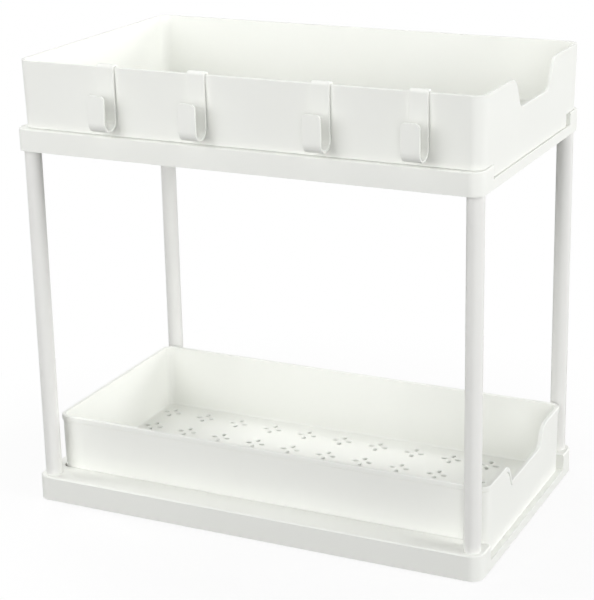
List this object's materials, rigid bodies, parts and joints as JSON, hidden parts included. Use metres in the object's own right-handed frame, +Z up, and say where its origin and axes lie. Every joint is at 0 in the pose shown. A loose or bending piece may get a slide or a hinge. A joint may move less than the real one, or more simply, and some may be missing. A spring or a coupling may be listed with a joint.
{
  "type": "pull-out cabinet organizer",
  "caption": "Two-tier under-cabinet organizer in white plastic: open frames on tube legs, a pull-out drawer below, a pull-out tray above and hooks over its rim.",
  "frame": {"origin": "on the floor plane that the feet stand on, under the middle of the whole outline, hooks included", "axes": "+X towards the notched end that the drawer and tray are pulled out of, -Y the long side with the hooks, +Z up"},
  "size_m": [0.4, 0.2526, 0.3814],
  "materials": {
    "frame_plastic": "satin white",
    "tray_plastic": "satin white",
    "tube_white": "white coating",
    "hook_plastic": "satin white",
    "pad_rubber": "matt light grey"
  },
  "bodies": {
    "stand": {"base_frame": "frame_plastic", "upper_frame": "frame_plastic", "leg_front_left": "tube_white", "foot_pad_front_left": "pad_rubber", "leg_front_right": "tube_white", "foot_pad_front_right": "pad_rubber", "leg_rear_left": "tube_white", "foot_pad_rear_left": "pad_rubber", "leg_rear_right": "tube_white", "foot_pad_rear_right": "pad_rubber"},
    "lower_drawer": {"lower_drawer": "tray_plastic"},
    "upper_tray": {"upper_tray": "tray_plastic"},
    "hook_1": {"hook_1": "hook_plastic"},
    "hook_2": {"hook_2": "hook_plastic"},
    "hook_3": {"hook_3": "hook_plastic"},
    "hook_4": {"hook_4": "hook_plastic"}
  },
  "joints": [
    {"name": "lower_drawer_slide", "type": "slide", "parent": "stand", "child": "lower_drawer", "axis": [1, 0, 0], "range_m": [0, 0.18]},
    {"name": "upper_tray_slide", "type": "slide", "parent": "stand", "child": "upper_tray", "axis": [1, 0, 0], "range_m": [0, 0.18]},
    {"name": "hook_1_slide", "type": "slide", "parent": "upper_tray", "child": "hook_1", "axis": [1, 0, 0], "range_m": [-0.061, 0.032]},
    {"name": "hook_2_slide", "type": "slide", "parent": "upper_tray", "child": "hook_2", "axis": [1, 0, 0], "range_m": [-0.0275, 0.0405]},
    {"name": "hook_3_slide", "type": "slide", "parent": "upper_tray", "child": "hook_3", "axis": [1, 0, 0], "range_m": [-0.04, 0.027]},
    {"name": "hook_4_slide", "type": "slide", "parent": "upper_tray", "child": "hook_4", "axis": [1, 0, 0], "range_m": [-0.0275, 0.0235]}
  ]
}
